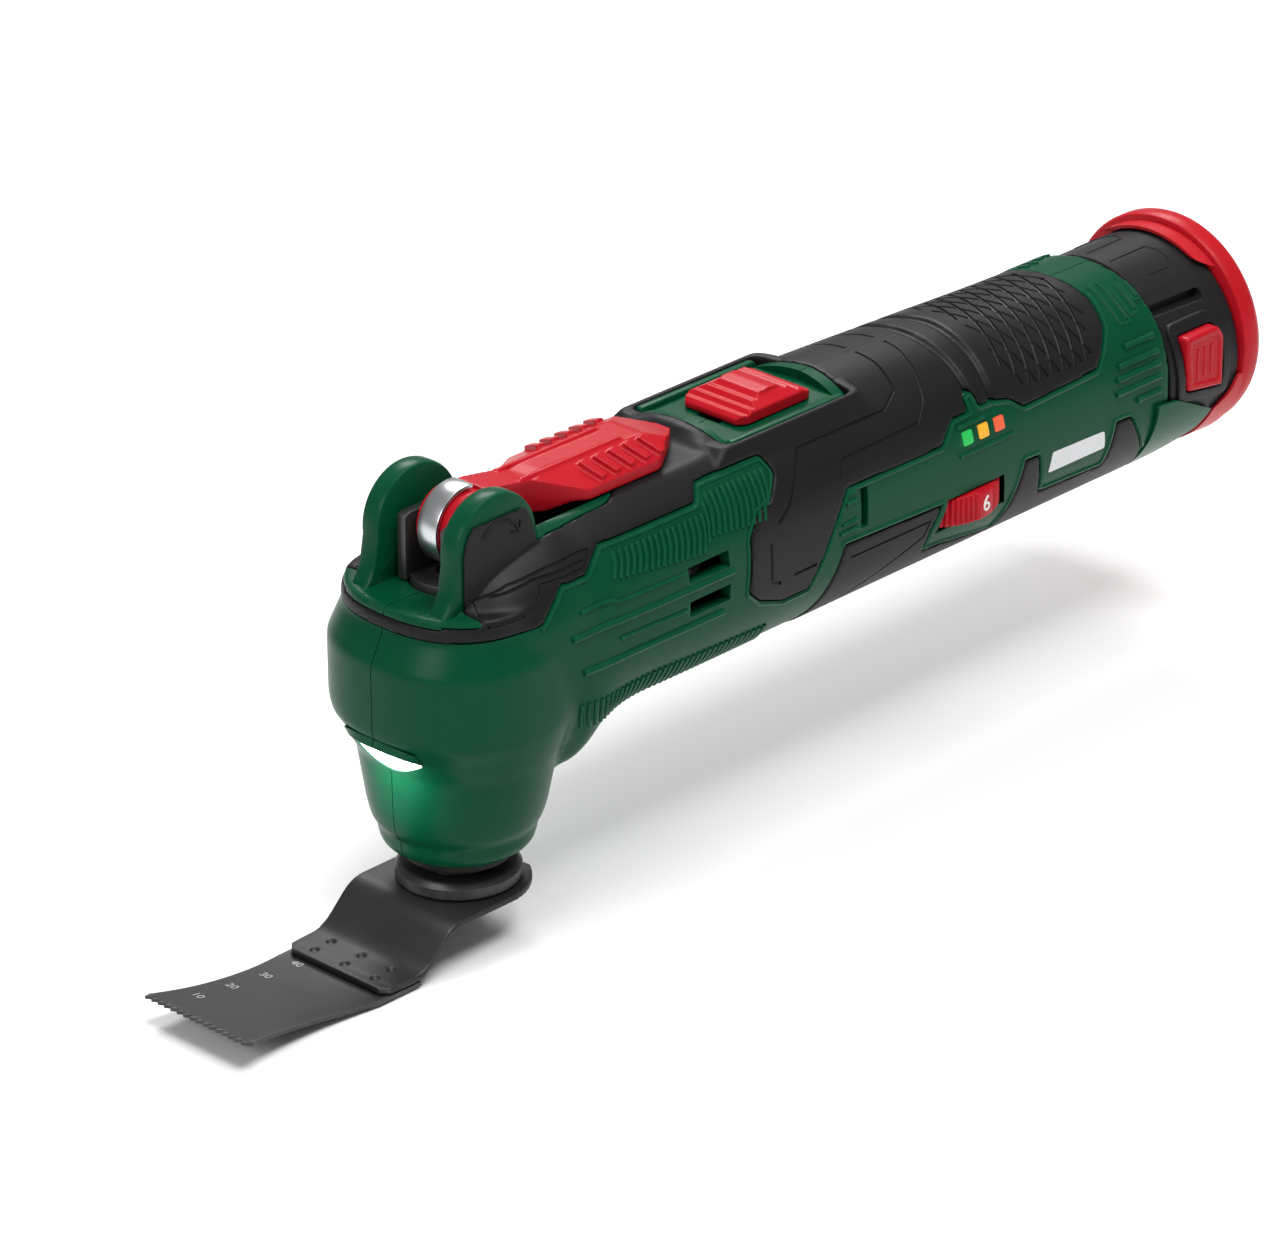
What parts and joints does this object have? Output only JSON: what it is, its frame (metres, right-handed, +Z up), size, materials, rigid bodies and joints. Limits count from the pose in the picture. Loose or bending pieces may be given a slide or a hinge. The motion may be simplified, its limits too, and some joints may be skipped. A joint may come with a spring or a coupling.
{
  "type": "oscillating multi tool",
  "caption": "Slim cordless oscillating multi tool with a plunge saw blade, quick-release clamp lever, thumb slide switch, speed dial and stick battery.",
  "frame": {"origin": "centre of the clamp foot's flat underside, on the spindle axis", "axes": "+X along the handle towards the battery, the blade points to -X; +Z up along the spindle, from the blade to the clamp lever; -Y is the side with the speed dial"},
  "size_m": [0.3232, 0.0545, 0.1078],
  "materials": {
    "green_shell": "satin moulded plastic",
    "soft_grip": "fine matt overmould",
    "black_plastic": "fine texture",
    "red_lever": "satin paint on a die casting",
    "red_plastic": "satin moulded plastic",
    "bright_steel": "ground",
    "dark_steel": "blackened",
    "blade_steel": "dark coated, fine grinding lines",
    "alloy": "die cast",
    "copper": "winding and commutator copper",
    "board": "circuit board",
    "clear_lens": "clear moulded",
    "window_green": "tinted window",
    "window_amber": "tinted window",
    "window_red": "tinted window",
    "cell_wrap": "shrink wrap"
  },
  "bodies": {
    "housing": {"housing_left": "green_shell", "housing_right": "green_shell", "grip_upper_left": "soft_grip", "grip_upper_right": "soft_grip", "grip_lower_left": "soft_grip", "grip_lower_right": "soft_grip", "spindle_seal": "soft_grip", "lamp_lens": "clear_lens", "lamp_board": "board", "charge_board": "board", "charge_window_1": "window_green", "charge_window_2": "window_amber", "charge_window_3": "window_red", "gear_case": "alloy", "lower_bearing": "bright_steel", "upper_bearing": "bright_steel", "front_motor_bearing": "bright_steel", "lever_bracket": "dark_steel", "lever_pin": "bright_steel", "motor_can": "bright_steel", "motor_end_cap": "black_plastic", "switch_module": "black_plastic", "speed_control": "black_plastic", "control_board": "board", "contact_block": "black_plastic", "housing_screw_1": "dark_steel", "housing_screw_2": "dark_steel", "housing_screw_3": "dark_steel", "housing_screw_4": "dark_steel", "housing_screw_5": "dark_steel"},
    "clamp_lever": {"clamp_lever": "red_lever", "lever_band": "bright_steel"},
    "spindle": {"spindle": "bright_steel", "tool_flange": "dark_steel", "rocker_arm": "alloy", "rocker_clamp_screw": "dark_steel", "blade_adapter": "blade_steel", "saw_blade": "blade_steel", "draw_spring": "bright_steel"},
    "draw_bar": {"draw_bar": "bright_steel", "clamp_foot": "dark_steel"},
    "rotor": {"motor_shaft": "bright_steel", "armature": "copper", "commutator": "copper", "eccentric": "bright_steel", "eccentric_bearing": "bright_steel", "cooling_fan": "black_plastic"},
    "power_switch": {"switch_slider": "red_plastic"},
    "speed_dial": {"speed_dial": "red_plastic"},
    "battery": {"battery_shell": "black_plastic", "battery_end_cap": "red_plastic", "battery_cell_1": "cell_wrap", "battery_cell_2": "cell_wrap", "battery_cell_3": "cell_wrap", "battery_terminals": "black_plastic"},
    "button_left": {"release_button_left": "red_plastic"},
    "button_right": {"release_button_right": "red_plastic"}
  },
  "joints": [
    {"name": "lever_open", "type": "hinge", "parent": "housing", "child": "clamp_lever", "pos_m": [0.0015, 0, 0.089], "axis": [0, -1, 0], "range_deg": [0, 140]},
    {"name": "blade_swing", "type": "hinge", "parent": "housing", "child": "spindle", "pos_m": [0, 0, 0.03], "axis": [0, 0, 1], "range_deg": [-1.6, 1.6]},
    {"name": "clamp_drop", "type": "slide", "parent": "spindle", "child": "draw_bar", "axis": [0, 0, -1], "range_m": [0, 0.0023], "deforming": ["draw_spring"]},
    {"name": "motor_spin", "type": "hinge", "parent": "housing", "child": "rotor", "pos_m": [0.06, 0, 0.06], "axis": [1, 0, 0], "continuous": true},
    {"name": "switch_slide", "type": "slide", "parent": "housing", "child": "power_switch", "axis": [-1, 0, 0], "range_m": [0, 0.007]},
    {"name": "dial_turn", "type": "hinge", "parent": "housing", "child": "speed_dial", "pos_m": [0.142, -0.0115, 0.0545], "axis": [0, 0, 1], "range_deg": [-250, 10]},
    {"name": "battery_pull", "type": "slide", "parent": "housing", "child": "battery", "axis": [1, 0, 0], "range_m": [0, 0.06]},
    {"name": "button_left_press", "type": "slide", "parent": "battery", "child": "button_left", "axis": [0, 1, 0], "range_m": [0, 0.002], "stiffness_N_per_m": 900},
    {"name": "button_right_press", "type": "slide", "parent": "battery", "child": "button_right", "axis": [0, -1, 0], "range_m": [0, 0.002], "stiffness_N_per_m": 900}
  ],
  "couplings": [
    {"joint": "clamp_drop", "follows": "lever_open", "m_per_rad": 0.0009004}
  ]
}
